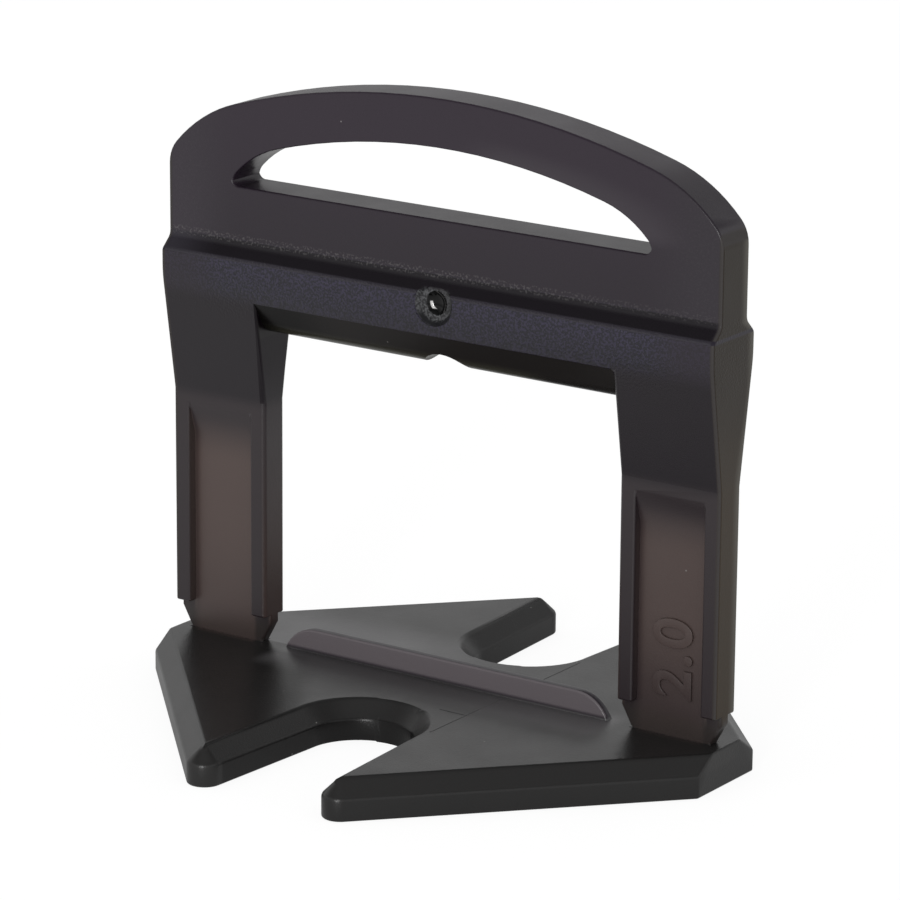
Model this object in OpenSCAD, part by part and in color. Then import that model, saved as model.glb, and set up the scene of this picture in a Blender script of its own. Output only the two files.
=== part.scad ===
// Tile levelling clip, moulded in one piece.
// X runs along the arch from leg to leg, Y runs across the frame, Z points up.
// The origin is the middle of the plate's underside. Lengths are in millimetres.

/* [Plate] */
// Width of the plate over its flat ends
plate_width = 38.4; // [34:0.1:48]
// Thickness of the plate
plate_thickness = 2.3; // [1.8:0.1:4]
// Width of each flat end, measured at the underside
plate_end_width = 5.8; // [4:0.1:9]
// Angle of the slanted edges to the X axis
plate_edge_angle = 46.7; // [42:0.1:52]
// Size of the 45 degree bevel along the upper edges
plate_bevel = 1; // [0.4:0.05:1.1]
// Radius of the four prong tips
tip_radius = 1.05; // [0.8:0.05:1.4]
// Radius of the round end of each notch, at the underside
notch_radius = 3.15; // [2:0.05:4]
// Distance from the middle of the plate to the centre of each round end
notch_centre = 8.65; // [7:0.05:11]
// Angle by which each notch wall opens towards the mouth
notch_taper = 3.5; // [0:0.1:8]

/* [Fin] */
// Length of the fin where it stands on the plate
fin_length = 22.8; // [12:0.1:24]
// Height of the fin above the plate
fin_height = 1.4; // [0.6:0.05:2]
// Thickness of the fin
fin_thickness = 0.6; // [0.4:0.05:1.2]
// Radius of the fin's rounded ends
fin_end_radius = 2.3; // [1.5:0.1:4]

/* [Legs] */
// Width of the frame over the outer faces of the legs
frame_width = 38.1; // [34:0.1:46]
// Width of each leg
leg_width = 6.65; // [5:0.05:8]
// Thickness of the legs, which sets the joint between two tiles
leg_thickness = 2; // [1.4:0.1:3]
// Width of each of a leg's two ribs
rib_width = 1.05; // [0.6:0.05:1.6]
// Thickness of the web between the ribs
web_thickness = 0.8; // [0.5:0.05:1.2]
// Height of the rib ends above the plate
rib_clearance = 1.7; // [1.4:0.05:3]
// Height of the narrowed neck at the plate
neck_height = 1.25; // [0.6:0.05:1.4]
// Amount by which each side of the neck draws in at the plate
neck_inset = 0.7; // [0.2:0.05:1.2]
// Height of the straight legs above the plate
leg_height = 14.9; // [10:0.1:20]
// Length of the ramp at the top of each panel
panel_ramp = 2; // [0.5:0.1:4]
// Height left between a panel's ramp and the top of the straight leg
panel_margin = 0.7; // [0.3:0.1:3]

/* [Crossbar] */
// Thickness of the crossbar
bar_thickness = 4.25; // [3.6:0.05:6]
// Height over which the legs widen into the crossbar
taper_height = 7.2; // [5:0.1:10]
// Height of the upright faces of the crossbar
bar_face_height = 1.48; // [1:0.02:3]
// Radius where the widening legs meet the upright faces
bar_foot_radius = 7; // [1:0.5:10]
// Height of the crossbar between the bead and the ledge
bar_height = 2.38; // [1.5:0.02:4]
// Height of the sloping ledge above the crossbar
ledge_height = 0.74; // [0.5:0.02:1.5]
// Radius where the ledge meets the upright faces
ledge_radius = 0.4; // [0.1:0.05:0.8]
// Radius of the hollow above the ledge
ledge_fillet = 0.6; // [0.2:0.05:0.8]
// Radius of the bead's round nose under the crossbar
bead_radius = 1.4; // [0.6:0.05:1.6]
// Angle of the bead's flanks to the upright
bead_angle = 30; // [25:1:45]
// Width of the groove across the bead, below the gate mark
groove_width = 3.3; // [1.5:0.1:4]
// Depth of the groove
groove_depth = 0.8; // [0.2:0.01:1]

/* [Handle] */
// Thickness of the handle
handle_thickness = 2.7; // [2:0.1:3.4]
// Height of the panel between the ledge and the slot
brow_height = 3.48; // [2:0.02:6]
// Height of the slot at its middle
slot_height = 4.1; // [3:0.1:7]
// Height of the arch over the middle of the slot
arch_height = 2.85; // [2:0.05:5]
// Radius of the arch's crown
crown_radius = 49; // [42:0.5:80]
// Radius of the arch's shoulders
shoulder_radius = 9.5; // [8.5:0.1:11]
// Distance of each shoulder's centre inside the frame's outer face
shoulder_inset = 7.55; // [7:0.05:8.3]
// Radius where each shoulder meets the frame's outer face
corner_radius = 2; // [1:0.1:2.5]
// Width of the slot
slot_width = 28.8; // [22:0.1:30]
// Radius of the slot's crown
slot_crown_radius = 41; // [36:0.5:80]
// Radius of the slot's shoulders
slot_shoulder_radius = 6.4; // [5.5:0.1:7.5]
// Distance of each slot shoulder's centre inside the slot's end
slot_shoulder_inset = 4.9; // [4.5:0.05:5.4]
// Radius where each slot shoulder meets the slot's end
slot_corner_radius = 1; // [0.5:0.1:1.5]
// Radius of the slot's lower corners
slot_foot_radius = 0.45; // [0.2:0.05:0.5]

/* [Gate mark] */
// Diameter of the dimple at the crossbar's face
gate_diameter = 2.7; // [1.6:0.1:2.8]
// Diameter of the dimple's floor
gate_floor_diameter = 2; // [1.2:0.1:2.4]
// Depth of the dimple
gate_depth = 0.4; // [0.2:0.05:0.8]
// Distance of the dimple's centre from the frame's middle
gate_offset = 0.4; // [-6:0.1:6]
// Distance of the dimple's centre below the ledge
gate_drop = 0.5; // [0.3:0.05:1.2]
// Diameter of the round pit in the dimple's floor
pit_diameter = 1.45; // [0.8:0.05:1.8]
// Depth of the pit below the dimple's floor
pit_depth = 0.35; // [0.1:0.05:0.5]

/* [Hidden] */
$fn = 96;

clip_colour = [0.17, 0.16, 0.17];
// Depth by which joined shapes run into each other
overlap = 0.4;
// Depth by which the notch walls cut into their round ends, so that the two meet at a clear edge
blend = 0.01;
// Length by which cutting shapes run past what they cut
reach = 1;

half_plate = plate_width / 2;
half_end = plate_end_width / 2;
half_frame = frame_width / 2;
half_window = half_frame - leg_width;
half_slot = slot_width / 2;
half_leg = leg_thickness / 2;
half_web = web_thickness / 2;
half_bar = bar_thickness / 2;
half_handle = handle_thickness / 2;
panel_width = leg_width - 2 * rib_width;

// Levels above the underside, from the plate up
edge_z = plate_thickness - plate_bevel;
neck_z = plate_thickness + neck_height;
rib_z = plate_thickness + rib_clearance;
leg_z = plate_thickness + leg_height;
panel_z = leg_z - panel_margin;
panel_floor_z = panel_z - panel_ramp;
face_z = leg_z + taper_height;
ledge_z = face_z + bar_face_height;
window_z = ledge_z - bar_height;
half_lower_edge = half_leg + (half_bar - half_leg) * (window_z - leg_z) / taper_height;
bead_z = window_z - (half_lower_edge - bead_radius / cos(bead_angle)) / tan(bead_angle);
bead_foot_z = bead_z - bead_radius;
handle_z = ledge_z + ledge_height;
sill_z = handle_z + brow_height;
slot_z = sill_z + slot_height;
crown_z = slot_z + arch_height;
fin_z = plate_thickness + fin_height;
gate_z = ledge_z - gate_drop;

// Slanted edge and notch wall in plan: directions into the plate, and a point on each
edge_inward = [-sin(plate_edge_angle), cos(plate_edge_angle)];
wall_inward = [cos(notch_taper), sin(notch_taper)];
edge_start = [half_plate, -half_end];
wall_start = [0, -notch_centre] + (notch_radius - blend) * wall_inward;
apex_y = half_end + half_plate * tan(plate_edge_angle);
edge_length = half_plate / cos(plate_edge_angle);
wall_length = apex_y / cos(notch_taper);

// Radius of an arc with the given chord and rise
function arc_radius(chord, rise) = (chord * chord / 4 + rise * rise) / (2 * rise);

// Point that lies the given distance inside both the notch wall and the slanted edge
function prong_point(depth) =
    let (wall = depth + wall_start * wall_inward)
    let (edge = depth + edge_start * edge_inward)
    let (spread = cos(plate_edge_angle - notch_taper))
    [(wall * cos(plate_edge_angle) - edge * sin(notch_taper)) / spread,
     (edge * cos(notch_taper) + wall * sin(plate_edge_angle)) / spread];

// Copies its children to the four corners of the plan
module four_corners() {
    for (x = [0, 1], y = [0, 1])
        mirror([x, 0, 0])
            mirror([0, y, 0])
                children();
}

// Plan of one notch, open towards -Y
module notch_plan() {
    mouth = wall_start + wall_length * [sin(notch_taper), -cos(notch_taper)];
    translate([0, -notch_centre])
        circle(notch_radius);
    polygon([wall_start, mouth, [-mouth.x, mouth.y], [-wall_start.x, wall_start.y]]);
}

module plate_plan() {
    difference() {
        polygon([[half_plate, -half_end], [half_plate, half_end], [0, apex_y],
                 [-half_plate, half_end], [-half_plate, -half_end], [0, -apex_y]]);
        notch_plan();
        rotate(180)
            notch_plan();
    }
}

// Cutter for a straight bevel along +X, with the plate on its +Y side
module bevel_cutter(length) {
    rotate([90, 0, 90])
        linear_extrude(length)
            polygon([[-reach, edge_z - reach],
                     [plate_bevel + reach, plate_thickness + reach],
                     [-reach, plate_thickness + reach]]);
}

module slanted_bevel() {
    translate(edge_start - edge_length * [cos(plate_edge_angle), sin(plate_edge_angle)])
        rotate(plate_edge_angle)
            bevel_cutter(edge_length + 2 * reach);
}

module wall_bevel() {
    translate(wall_start)
        rotate(notch_taper - 90)
            bevel_cutter(wall_length);
}

module notch_end_bevel() {
    translate([0, -notch_centre, edge_z])
        cylinder(h = plate_bevel + reach, r1 = notch_radius, r2 = notch_radius + plate_bevel + reach);
}

// Cutter that leaves a round prong tip with a coned upper edge
module tip_cutter() {
    centre = prong_point(tip_radius);
    cone = min(plate_bevel, tip_radius);
    difference() {
        translate([0, 0, -reach])
            linear_extrude(plate_thickness + 2 * reach)
                polygon([centre, centre - (tip_radius + reach) * wall_inward,
                         prong_point(-reach), centre - (tip_radius + reach) * edge_inward]);
        translate([centre.x, centre.y, -2 * reach])
            cylinder(h = edge_z + 2 * reach, r = tip_radius);
        translate([centre.x, centre.y, edge_z])
            cylinder(h = cone, r1 = tip_radius, r2 = tip_radius - cone);
    }
}

module plate() {
    difference() {
        linear_extrude(plate_thickness)
            plate_plan();
        four_corners() {
            slanted_bevel();
            wall_bevel();
            tip_cutter();
        }
        for (turn = [0, 180])
            rotate(turn)
                notch_end_bevel();
    }
}

module fin() {
    straight = fin_length / 2 - sqrt(2 * fin_end_radius * fin_height - pow(fin_height, 2));
    foot_z = plate_thickness - overlap;
    rotate([90, 0, 0])
        linear_extrude(fin_thickness, center = true)
            intersection() {
                translate([-fin_length / 2, foot_z])
                    square([fin_length, fin_height + overlap]);
                union() {
                    translate([-straight, foot_z])
                        square([2 * straight, fin_height + overlap]);
                    for (x = [-straight, straight])
                        translate([x, fin_z - fin_end_radius])
                            circle(fin_end_radius);
                }
            }
}

// Arch outline from the level foot up: a crown, two shoulders and two small corners, all tangent
module arch_plan(half_width, crown, radius, shoulder, inset, corner, foot) {
    shoulder_x = half_width - inset;
    pivot_z = crown - radius;
    turn = asin(shoulder_x / (radius - shoulder));
    shoulder_z = pivot_z + (radius - shoulder) * cos(turn);
    corner_x = half_width - corner;
    corner_z = shoulder_z + sqrt(pow(shoulder - corner, 2) - pow(inset - corner, 2));
    fan = 2 * radius;
    difference() {
        intersection() {
            translate([-half_width, foot])
                square([2 * half_width, crown - foot + reach]);
            union() {
                intersection() {
                    translate([0, pivot_z])
                        circle(radius, $fn = 4 * $fn);
                    polygon([[0, pivot_z],
                             [fan * sin(turn), pivot_z + fan * cos(turn)],
                             [-fan * sin(turn), pivot_z + fan * cos(turn)]]);
                }
                for (side = [-1, 1])
                    translate([side * shoulder_x, shoulder_z])
                        circle(shoulder);
                translate([-half_width, foot])
                    square([2 * half_width, shoulder_z - foot]);
            }
        }
        for (side = [0, 1])
            mirror([side, 0])
                difference() {
                    polygon([[corner_x, corner_z],
                             [corner_x, corner_z] + 3 * [inset - corner, corner_z - shoulder_z],
                             [half_width + fan, corner_z]]);
                    translate([corner_x, corner_z])
                        circle(corner);
                }
    }
}

// D-shaped slot with rounded lower corners
module slot_plan() {
    difference() {
        arch_plan(half_slot, slot_z, slot_crown_radius, slot_shoulder_radius,
                  slot_shoulder_inset, slot_corner_radius, sill_z);
        for (side = [0, 1])
            mirror([side, 0])
                translate([half_slot - slot_foot_radius, sill_z + slot_foot_radius])
                    difference() {
                        translate([0, -slot_foot_radius - reach])
                            square([slot_foot_radius + reach, slot_foot_radius + reach]);
                        circle(slot_foot_radius);
                    }
    }
}

// Front outline of one leg, from inside the plate up to the crossbar's lower edge
module leg_plan() {
    foot_z = plate_thickness - overlap;
    polygon([[half_window + neck_inset, foot_z], [half_window + neck_inset, plate_thickness],
             [half_window, neck_z], [half_window, window_z + overlap],
             [half_frame, window_z + overlap], [half_frame, neck_z],
             [half_frame - neck_inset, plate_thickness], [half_frame - neck_inset, foot_z]]);
}

module front_plan() {
    difference() {
        arch_plan(half_frame, crown_z, crown_radius, shoulder_radius,
                  shoulder_inset, corner_radius, window_z);
        slot_plan();
    }
    leg_plan();
    mirror([1, 0])
        leg_plan();
}

// Cutter that rounds the corner at [half_bar, level], where an edge that leans in by the given angle
// meets the upright face. The edge goes down from the corner, or up with side = -1.
module side_corner_cutter(level, lean, radius, side) {
    tangent = radius * tan(lean / 2);
    end = tangent * [sin(lean), cos(lean)];
    translate([half_bar, level])
        mirror([0, (1 - side) / 2])
            difference() {
                polygon([[0, tangent], [-end.x, -end.y], [reach - end.x, -end.y], [reach, tangent]]);
                translate([-radius, tangent])
                    circle(radius, $fn = 4 * $fn);
            }
}

// Half of the side outline, on the +Y side, with the hollow above the ledge
module half_side_plan() {
    lean = atan2(half_bar - half_leg, taper_height);
    slope = atan2(half_bar - half_handle, ledge_height);
    tangent = ledge_fillet * tan(slope / 2);
    hollow = [half_handle + ledge_fillet, handle_z + tangent];
    difference() {
        polygon([[0, 0], [half_web, 0], [half_web, rib_z], [half_leg, rib_z], [half_leg, leg_z],
                 [half_bar, face_z], [half_bar, ledge_z], [half_handle, handle_z],
                 [half_handle, crown_z + reach], [0, crown_z + reach]]);
        side_corner_cutter(face_z, lean, bar_foot_radius, 1);
        side_corner_cutter(ledge_z, slope, ledge_radius, -1);
    }
    difference() {
        polygon([[half_handle - overlap, handle_z - overlap], [half_handle - overlap, hollow.y],
                 [half_handle, hollow.y], hollow,
                 [half_handle, handle_z] + tangent * [sin(slope), -cos(slope)]]);
        translate(hollow)
            circle(ledge_fillet);
    }
}

module side_plan() {
    half_side_plan();
    mirror([1, 0])
        half_side_plan();
}

// Cutter for the hollow between a leg's ribs, on the -Y face of the +X leg
module panel_cutter() {
    depth = half_leg - half_web;
    translate([half_window + rib_width, 0, 0])
        rotate([90, 0, 90])
            linear_extrude(panel_width)
                polygon([[-half_leg - reach, rib_z - reach], [-half_web, rib_z - reach],
                         [-half_web, panel_floor_z], [-half_leg, panel_z],
                         [-half_leg - reach, panel_z + reach * panel_ramp / depth]]);
}

// End view of the bead: slanted flanks down from the crossbar's lower edges, and a round nose
module bead_plan() {
    flank = [bead_radius * cos(bead_angle), bead_z - bead_radius * sin(bead_angle)];
    polygon([[-half_lower_edge, window_z], [-half_leg, window_z + overlap], [half_leg, window_z + overlap],
             [half_lower_edge, window_z], flank, [-flank.x, flank.y]]);
    translate([0, bead_z])
        circle(bead_radius);
}

// Bead that the wedge bears on, grooved across below the gate mark
module bead() {
    groove_radius = arc_radius(groove_width, groove_depth);
    length = 2 * (half_window + overlap);
    difference() {
        rotate([90, 0, 90])
            linear_extrude(length, center = true)
                bead_plan();
        translate([gate_offset, 0, bead_foot_z + groove_depth - groove_radius])
            rotate([90, 0, 0])
                cylinder(h = 2 * (bead_radius + reach), r = groove_radius, center = true);
    }
}

// Dimple left by the moulding gate, on the -Y face of the crossbar
module gate_cutter() {
    flare = (gate_diameter - gate_floor_diameter) / 2 / gate_depth;
    floor_radius = gate_floor_diameter / 2;
    height = gate_depth + overlap;
    translate([gate_offset, gate_depth - half_bar, gate_z])
        rotate([90, 0, 0])
            cylinder(h = height, r1 = floor_radius, r2 = floor_radius + flare * height);
}

// Round pit in the middle of the dimple
module pit_cutter() {
    radius = arc_radius(pit_diameter, pit_depth);
    translate([gate_offset, gate_depth - half_bar - radius + pit_depth, gate_z])
        sphere(radius);
}

module frame() {
    difference() {
        intersection() {
            rotate([90, 0, 0])
                linear_extrude(bar_thickness + 2 * reach, center = true)
                    front_plan();
            rotate([90, 0, 90])
                linear_extrude(frame_width + 2 * reach, center = true)
                    side_plan();
        }
        four_corners()
            panel_cutter();
        gate_cutter();
        pit_cutter();
    }
    bead();
}

module levelling_clip() {
    color(clip_colour) {
        plate();
        fin();
        frame();
    }
}

levelling_clip();
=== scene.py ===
"""Looks of a moulded tile levelling clip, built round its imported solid.

Objects are in metres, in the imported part's frame: X along the arch, Y across the frame, Z up from the plate.
Sizes that a maker would read off the part are written in millimetres.
"""

import logging
import math
from collections.abc import Callable, Iterator
from contextlib import contextmanager
from dataclasses import dataclass
from enum import Enum
from functools import partial, reduce
from typing import Any, Union

import bmesh
import bpy
from mathutils import Matrix, Vector


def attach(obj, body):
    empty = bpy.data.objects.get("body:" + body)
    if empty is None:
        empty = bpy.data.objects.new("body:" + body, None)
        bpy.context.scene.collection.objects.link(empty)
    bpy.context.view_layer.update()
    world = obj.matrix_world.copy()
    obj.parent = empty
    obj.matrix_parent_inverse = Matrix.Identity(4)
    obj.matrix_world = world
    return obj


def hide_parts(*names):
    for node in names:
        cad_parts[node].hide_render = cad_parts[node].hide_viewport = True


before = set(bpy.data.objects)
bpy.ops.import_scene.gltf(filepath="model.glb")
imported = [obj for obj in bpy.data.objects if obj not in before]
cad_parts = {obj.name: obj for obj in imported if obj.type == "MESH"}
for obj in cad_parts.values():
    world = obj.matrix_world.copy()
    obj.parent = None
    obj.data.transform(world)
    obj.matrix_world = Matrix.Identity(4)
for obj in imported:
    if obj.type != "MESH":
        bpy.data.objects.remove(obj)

MM = 0.001
NODE = "levelling_clip"
BODY = "root"
LOG = logging.getLogger(NODE)

Colour = tuple[float, float, float]
Span = tuple[float, float]
Place = tuple[float, float, float]
Piece = bpy.types.Object
Edge = bmesh.types.BMEdge
Socket = bpy.types.NodeSocket
Feed = Union[Socket, float, tuple]
Part = Union[Socket, tuple[Socket, float, float], tuple[Socket, float, float, float]]


class Op(Enum):
    """Arithmetic of the finishes' nodes."""

    ADD = "ADD"
    LESS = "SUBTRACT"
    TIMES = "MULTIPLY"
    LARGER = "MAXIMUM"
    SIZE = "ABSOLUTE"
    ROOT = "SQRT"


@dataclass(frozen=True)
class ClipSizes:
    """Places on the clip that its finish and marks refer to, in millimetres."""

    plate_top: float = 2.3
    plate_edge: float = 1.3
    notch_half_width: float = 4.7
    notch_start: float = 4.6
    notch_stop: float = 16.4
    fin_half_length: float = 11.4
    fin_half_thickness: float = 0.3
    fin_top: float = 3.7
    frame_half_width: float = 19.05
    leg_width: float = 6.65
    rib_width: float = 1.05
    web_half_thickness: float = 0.4
    rib_half_thickness: float = 1.0
    neck_top: float = 3.55
    panel_floor_top: float = 14.5
    panel_top: float = 16.5
    leg_top: float = 17.2
    bead_foot: float = 21.46
    groove_half_width: float = 1.65
    groove_depth: float = 0.8
    window_top: float = 23.5
    bar_foot: float = 24.4
    ledge_foot: float = 25.88
    ledge_top: float = 26.62
    slot_half_width: float = 14.4
    slot_rise: float = 4.1
    sill: float = 30.1
    bar_half_thickness: float = 2.125
    handle_half_thickness: float = 1.35
    gate_x: float = 0.4
    gate_z: float = 25.38
    gate_radius: float = 1.35
    pit_radius: float = 0.72

    @property
    def window_half_width(self) -> float:
        """Half the width of the window between the legs."""
        return self.frame_half_width - self.leg_width

    @property
    def panel_span(self) -> Span:
        """Distances from the middle plane to a panel's two sides."""
        return self.window_half_width + self.rib_width, self.frame_half_width - self.rib_width


def select_only(piece: Piece) -> None:
    """Leaves one object selected and active.

    Args:
        piece: The object to select.
    """
    bpy.ops.object.select_all(action="DESELECT")
    piece.select_set(True)
    bpy.context.view_layer.objects.active = piece


def modify(piece: Piece, kind: str, **settings: Any) -> None:
    """Adds a modifier to a piece and applies it.

    Args:
        piece: The piece.
        kind: The modifier's type.
        settings: The modifier's own settings.
    """
    modifier = piece.modifiers.new(kind.lower(), kind)
    for name, value in settings.items():
        setattr(modifier, name, value)
    select_only(piece)
    bpy.ops.object.modifier_apply(modifier=modifier.name)


def edit_faces(piece: Piece, chosen: Callable[[bpy.types.MeshPolygon], bool]) -> None:
    """Opens a piece in edit mode with only some of its faces selected.

    Args:
        piece: The piece.
        chosen: Tells whether a face is selected.
    """
    select_only(piece)
    bpy.context.tool_settings.mesh_select_mode = (False, False, True)
    bpy.ops.object.mode_set(mode="EDIT")
    bpy.ops.mesh.select_all(action="DESELECT")
    bpy.ops.object.mode_set(mode="OBJECT")
    for face in piece.data.polygons:
        face.select = chosen(face)
    bpy.ops.object.mode_set(mode="EDIT")


@contextmanager
def skin_of(piece: Piece) -> Iterator[bmesh.types.BMesh]:
    """Opens a piece's skin and writes it back after the changes.

    Args:
        piece: The piece.

    Yields:
        Its skin.
    """
    skin = bmesh.new()
    skin.from_mesh(piece.data)
    yield skin
    skin.to_mesh(piece.data)
    skin.free()


def settle(piece: Piece, material: bpy.types.Material) -> None:
    """Puts a piece's place into its mesh, dresses it and lets it ride on the clip.

    Args:
        piece: The finished piece.
        material: Its finish.
    """
    select_only(piece)
    bpy.ops.object.transform_apply()
    piece.data.materials.clear()
    piece.data.materials.append(material)
    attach(piece, BODY)
    LOG.info("%s: %d faces", piece.name, len(piece.data.polygons))


class Graph:
    """Builds one node tree. Finishes read the part's own coordinates, in millimetres."""

    def __init__(self, tree: bpy.types.NodeTree) -> None:
        """Empties a tree, to build it anew."""
        self.tree = tree
        self.tree.nodes.clear()

    def add(self, kind: str, inputs: dict[Any, Feed], **settings: Any) -> bpy.types.Node:
        """Adds a node.

        Args:
            kind: The node's type.
            inputs: What goes into each input, by name or number.
            settings: The node's own settings.

        Returns:
            The new node.
        """
        node = self.tree.nodes.new(kind)
        for name, value in settings.items():
            setattr(node, name, value)
        for name, value in inputs.items():
            if isinstance(value, Socket):
                self.tree.links.new(value, node.inputs[name])
            else:
                node.inputs[name].default_value = value
        return node

    def millimetres(self) -> Socket:
        """The point being shaded, in millimetres of the part's frame."""
        place = self.add("ShaderNodeTexCoord", {})
        return self.scaled(place.outputs["Object"], 1 / MM)

    def axes(self, point: Socket) -> list[Socket]:
        """The three coordinates of a point."""
        return list(self.add("ShaderNodeSeparateXYZ", {"Vector": point}).outputs)

    def calc(self, op: Op, first: Feed, second: Feed = 0.0) -> Socket:
        """Result of one piece of arithmetic."""
        return self.add("ShaderNodeMath", {0: first, 1: second}, operation=op.value).outputs[0]

    def rise(self, value: Feed, low: float, high: float) -> Socket:
        """Smooth step from 0 at low to 1 at high.

        Args:
            value: The value that is stepped.
            low: Where the step starts.
            high: Where it ends. Below low, the step falls instead.

        Returns:
            The step's value.
        """
        ends = (low, high, 0.0, 1.0) if low < high else (high, low, 1.0, 0.0)
        names = ("From Min", "From Max", "To Min", "To Max")
        inputs = {"Value": value, **dict(zip(names, ends))}
        return self.add("ShaderNodeMapRange", inputs, interpolation_type="SMOOTHSTEP").outputs["Result"]

    def within(self, value: Feed, low: float, high: float, soft: float) -> Socket:
        """Mask of a span, 1 from low to high, with soft borders outside it."""
        return self.calc(Op.TIMES, self.rise(value, low - soft, low), self.rise(value, high + soft, high))

    def reach(self, aside: Feed, above: Feed) -> Socket:
        """Length of a line that goes so far aside and so far up."""
        squares = (self.calc(Op.TIMES, part, part) for part in (aside, above))
        return self.calc(Op.ROOT, self.calc(Op.ADD, *squares))

    def all_of(self, *masks: Feed) -> Socket:
        """Product of several masks."""
        return reduce(partial(self.calc, Op.TIMES), masks)

    def any_of(self, *masks: Feed) -> Socket:
        """Largest of several masks."""
        return reduce(partial(self.calc, Op.LARGER), masks)

    def mixed(self, mask: Feed, low: Feed, high: Feed) -> Socket:
        """Value from low to high as a mask goes from 0 to 1."""
        return self.add("ShaderNodeMix", {0: mask, 2: low, 3: high}, data_type="FLOAT").outputs[0]

    def ramp(self, value: Feed, ends: Span, levels: tuple[Feed, Feed]) -> Socket:
        """Value that runs smoothly from one level to another between two ends."""
        return self.mixed(self.rise(value, *ends), *levels)

    def stepped(self, value: Feed, stops: tuple[Span, ...]) -> Socket:
        """Value that runs smoothly through the given stops.

        Args:
            value: The value that is looked up, from -1 to 1.
            stops: Pairs of that value and the result there, in rising order.

        Returns:
            The result.
        """
        share = self.calc(Op.TIMES, self.calc(Op.ADD, value, 1.0), 0.5)
        node = self.add("ShaderNodeValToRGB", {"Fac": share})
        elements = node.color_ramp.elements
        while len(elements) < len(stops):
            elements.new(1.0)
        for element, (place, level) in zip(elements, stops):
            element.position = (place + 1) / 2
            element.color = (level, level, level, 1.0)
        return node.outputs["Color"]

    def noise(self, point: Feed, grain: float, detail: float = 2.0) -> Socket:
        """Noise, about 0 to 1, with grains of a given size in millimetres and some finer layers."""
        inputs = {"Vector": point, "Scale": 1 / grain, "Detail": detail}
        return self.add("ShaderNodeTexNoise", inputs).outputs["Fac"]

    def scaled(self, colour: Feed, factor: Feed) -> Socket:
        """Colour times a factor."""
        inputs = {0: colour, "Scale": factor}
        return self.add("ShaderNodeVectorMath", inputs, operation="SCALE").outputs["Vector"]

    def tint(self, mask: Feed, first: Feed, second: Feed) -> Socket:
        """Colour that goes from the first to the second as a mask goes from 0 to 1."""
        first, second = (c if isinstance(c, Socket) else (*c, 1.0) for c in (first, second))
        return self.add("ShaderNodeMix", {0: mask, 6: first, 7: second}, data_type="RGBA").outputs[2]

    def emboss(self, height: Feed, depth: float, strength: Feed, under: Feed | None = None) -> Socket:
        """Surface normal with a relief on it.

        Args:
            height: The relief, from 0 to 1.
            depth: Depth of the full relief, in millimetres.
            strength: Share of the relief that shows.
            under: A normal that it is laid over.

        Returns:
            The new normal.
        """
        inputs: dict[Any, Feed] = {"Height": height, "Distance": depth * MM, "Strength": strength}
        if under is not None:
            inputs["Normal"] = under
        return self.add("ShaderNodeBump", inputs).outputs["Normal"]


class Zone(Enum):
    """Parts of the clip that have a look of their own."""

    PLATE = "plate, up to the feet of the legs"
    # Painted light: these bevels and walls are coloured lighter than the plate's top.
    PLATE_RIMS = "plate's bevels and walls on its front half, but for the -X edge"
    REAR_RIMS = "plate's bevels and walls on its rear half"
    # Painted shade: the notches' walls are coloured darker.
    NOTCH_WALLS = "walls of the plate's notches"
    # Painted reflection: a light strip on the plate's top along the fin's front.
    BESIDE_FIN = "strip of the plate's top along the fin's front"
    # Painted sheen: the plate's top behind the fin is coloured lighter, more so towards -X, and its gloss is
    # raised.
    BEHIND_FIN = "plate's smoother top behind the fin, more so towards -X"
    BESIDE_FOOT = "plate's duller top before the -X leg's inner corner"
    # Painted light: the fin is coloured lighter, as light comes through its thin plastic.
    FIN = "fin's sides and the rims of its crest"
    LEGS = "legs below the crossbar"
    # Painted shade: the legs' widening tops under the crossbar are coloured near black.
    SHOULDERS = "widening tops of the legs, under the crossbar"
    # Painted light: the webs are coloured brown, as light comes through them.
    PANELS = "thin webs between the ribs"
    # Painted light: the ribs' inner flanks are coloured a lighter brown.
    RIB_FLANKS = "ribs' inner flanks, beside the webs"
    NECKS = "break-off necks at the legs' feet"
    # Painted light: these faces are coloured a lighter brown, fading out upwards.
    INNER_SIDES = "legs' faces towards the window, fading out upwards"
    INNER_TOPS = "the same faces near the crossbar"
    # Painted light: the outer faces are coloured brown and grow lighter downwards.
    SIDES = "outer faces of the frame"
    SIDE_BACKS = "outer faces towards their rear edges, where light comes through"
    # Painted sheen: the rounded corners are coloured a lighter grey and have little gloss.
    CORNERS = "rounded corners beside the outer faces"
    # Painted light: the handle's ends are coloured lighter, more so towards -X.
    HANDLE_ENDS = "handle outside its slot"
    # Painted light: a lighter band on the handle's front above the +X half of the slot.
    SLOT_BROW = "handle's front along the +X half of the slot's upper rim"
    # Light grains: painted speckled sheen in the hollow above the ledge, and fainter grain on the handle's
    # ends.
    GRIT = "hollow above the ledge and, less so, the handle's ends"
    BAR = "crossbar's coarse faces and the hollow above the ledge"
    BEAD = "bead under the crossbar"
    # Painted reflection: the bead's lowest part is coloured olive, as the floor below it would show.
    BEAD_RIM = "bead's lowest part, away from its ends"
    # Painted shade: the ledge is coloured darker than the crossbar, with painted light towards its -X end.
    LEDGE = "sloping ledge, up into the hollow above it"
    # Painted highlight: the ledge's rounded lower edge is coloured lighter.
    LEDGE_LIP = "rounded lower edge of the ledge"
    GATE_RING = "gate's dimple, on the front face"
    GATE_CRESCENT = "shaded lower rim of the dimple"
    PIT = "smooth pit in the dimple's floor"
    # Painted highlight: a white fleck in the pit, where the lamp's reflection falls.
    TORN_FLECK = "whitened fleck in the pit, where the sprue tore off"


Masks = dict[Zone, Socket]


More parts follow.
